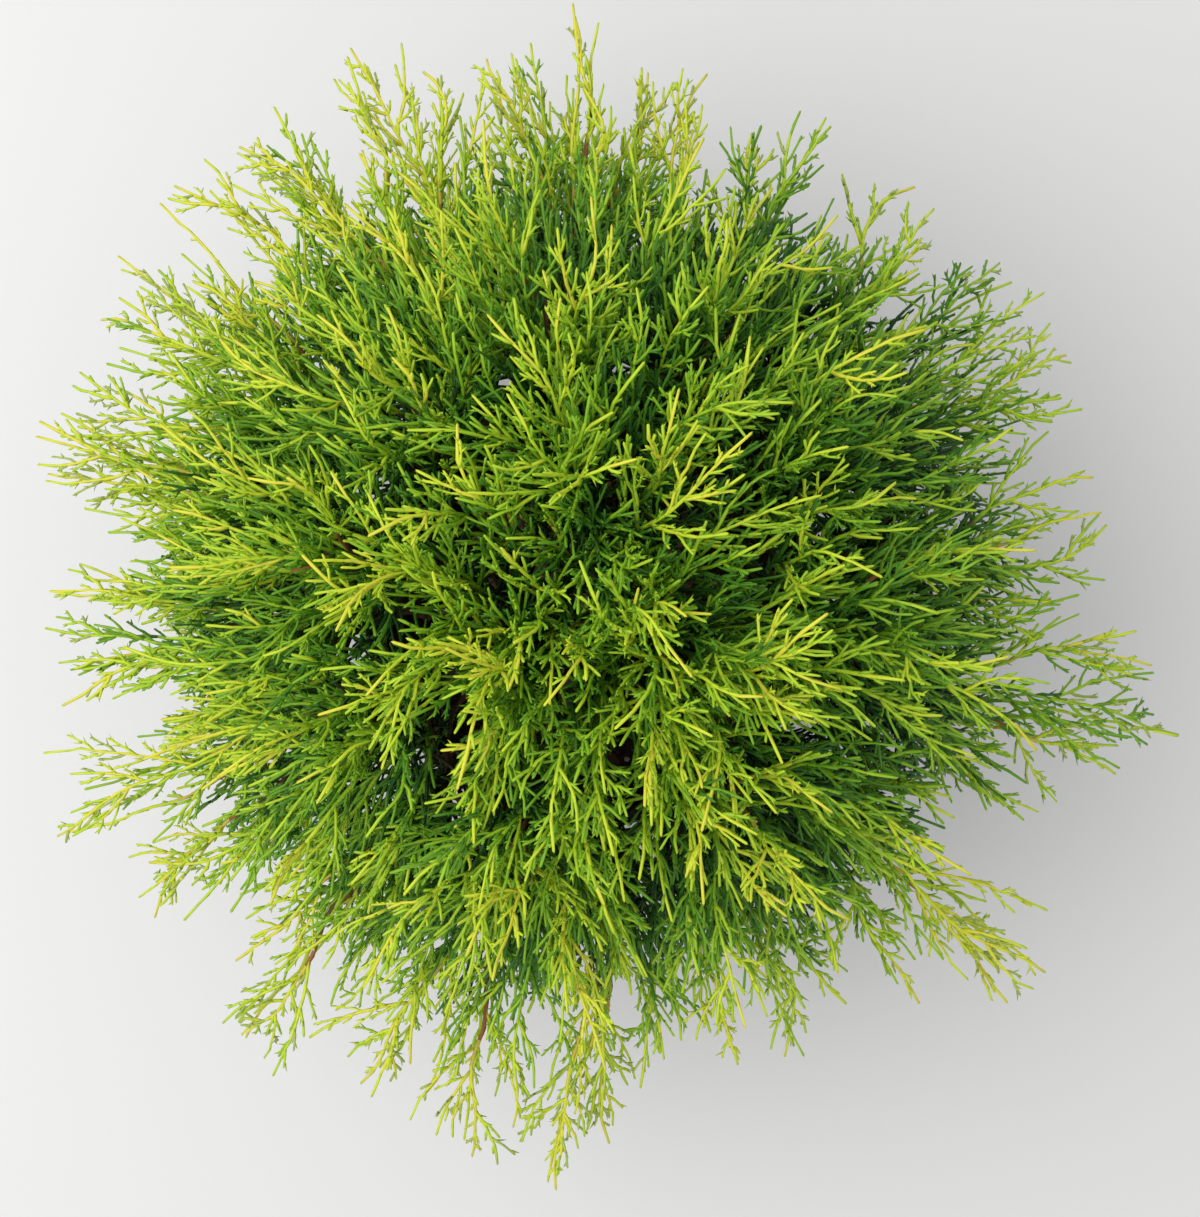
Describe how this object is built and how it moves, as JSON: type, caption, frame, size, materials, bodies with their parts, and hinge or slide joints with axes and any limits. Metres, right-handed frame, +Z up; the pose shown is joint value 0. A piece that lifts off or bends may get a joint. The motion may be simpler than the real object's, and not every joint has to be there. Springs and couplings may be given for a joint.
{
  "type": "potted sawara cypress",
  "caption": "Potted dwarf golden thread-leaved sawara cypress: a mop-shaped mound of gold and green cord-like shoots on a short stem in a plain round pot.",
  "frame": {"origin": "centre of the pot's flat underside, on the surface the pot stands on", "axes": "+Z up along the pot's axis; +Y is the top of the reference view seen from straight above, +X its right"},
  "size_m": [0.4575, 0.4715, 0.4138],
  "materials": {
    "pot_plastic": "satin",
    "soil": "matte",
    "bark": "matte",
    "foliage_gold": "matte",
    "foliage_lime": "matte",
    "foliage_green": "matte"
  },
  "bodies": {
    "root": {"bough_shoulder_e": "bark", "bough_shoulder_n": "bark", "bough_shoulder_ne": "bark", "bough_shoulder_nne": "bark", "bough_shoulder_nw": "bark", "bough_shoulder_s": "bark", "bough_shoulder_se": "bark", "bough_shoulder_sw": "bark", "bough_shoulder_w": "bark", "bough_skirt_e": "bark", "bough_skirt_ene": "bark", "bough_skirt_n": "bark", "bough_skirt_ne": "bark", "bough_skirt_ne_low": "bark", "bough_skirt_nne": "bark", "bough_skirt_nnw": "bark", "bough_skirt_nw": "bark", "bough_skirt_s": "bark", "bough_skirt_se": "bark", "bough_skirt_sse": "bark", "bough_skirt_ssw": "bark", "bough_skirt_sw": "bark", "bough_skirt_w": "bark", "bough_skirt_wnw": "bark", "bough_skirt_wsw": "bark", "bough_top_n": "bark", "bough_top_se": "bark", "bough_top_sw": "bark", "foliage_shoulder_e": "foliage_lime", "foliage_shoulder_n": "foliage_lime", "foliage_shoulder_ne": "foliage_lime", "foliage_shoulder_nne": "foliage_gold", "foliage_shoulder_nw": "foliage_gold", "foliage_shoulder_s": "foliage_lime", "foliage_shoulder_se": "foliage_gold", "foliage_shoulder_sw": "foliage_gold", "foliage_shoulder_w": "foliage_lime", "foliage_skirt_e": "foliage_green", "foliage_skirt_ene": "foliage_lime", "foliage_skirt_n": "foliage_green", "foliage_skirt_ne": "foliage_green", "foliage_skirt_ne_low": "foliage_green", "foliage_skirt_nne": "foliage_lime", "foliage_skirt_nnw": "foliage_green", "foliage_skirt_nw": "foliage_lime", "foliage_skirt_s": "foliage_lime", "foliage_skirt_se": "foliage_green", "foliage_skirt_sse": "foliage_green", "foliage_skirt_ssw": "foliage_green", "foliage_skirt_sw": "foliage_green", "foliage_skirt_w": "foliage_green", "foliage_skirt_wnw": "foliage_green", "foliage_skirt_wsw": "foliage_lime", "foliage_top_n": "foliage_gold", "foliage_top_se": "foliage_gold", "foliage_top_sw": "foliage_gold", "pot": "pot_plastic", "soil": "soil", "stem": "bark"}
  },
  "joints": []
}
